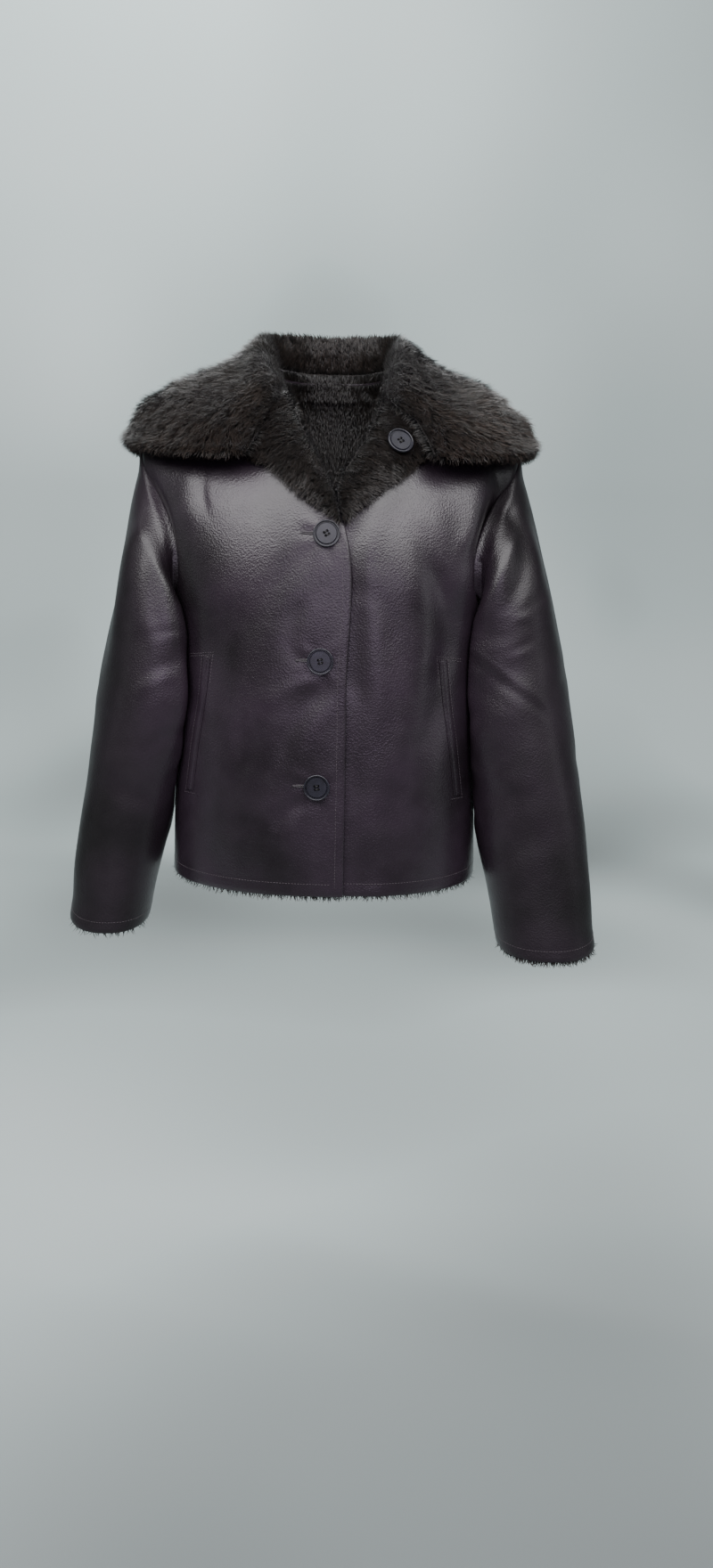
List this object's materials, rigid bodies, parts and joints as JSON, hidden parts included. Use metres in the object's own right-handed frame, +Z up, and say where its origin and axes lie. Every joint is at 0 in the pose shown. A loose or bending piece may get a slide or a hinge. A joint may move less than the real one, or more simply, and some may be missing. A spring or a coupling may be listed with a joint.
{
  "type": "buttoned faux shearling jacket",
  "caption": "Short fitted jacket of dark faux leather, worn and buttoned, with a wide faux fur collar and turned-back fur lapels, slit pockets and long sleeves.",
  "frame": {"origin": "middle of the neck base, on the level of the neck's side points, where the wearer's neck and shoulders hold the jacket", "axes": "+Z up, -Y out of the chest, +X to the wearer's left"},
  "size_m": [0.634, 0.2811, 0.7233],
  "materials": {
    "leather": "glazed faux leather, dark aubergine brown, fine pebble grain, soft gloss",
    "fur": "dense short faux fur, dark brown",
    "horn": "polished dark grey resin"
  },
  "bodies": {
    "root": {"front_right": "leather", "front_left": "leather", "back": "leather", "sleeve_right": "leather", "sleeve_left": "leather", "collar": "fur", "lapel_right": "fur", "lapel_left": "fur", "pocket_welt_right": "leather", "pocket_welt_left": "leather", "button_top": "horn", "button_middle": "horn", "button_bottom": "horn", "button_lapel": "horn"}
  },
  "joints": []
}
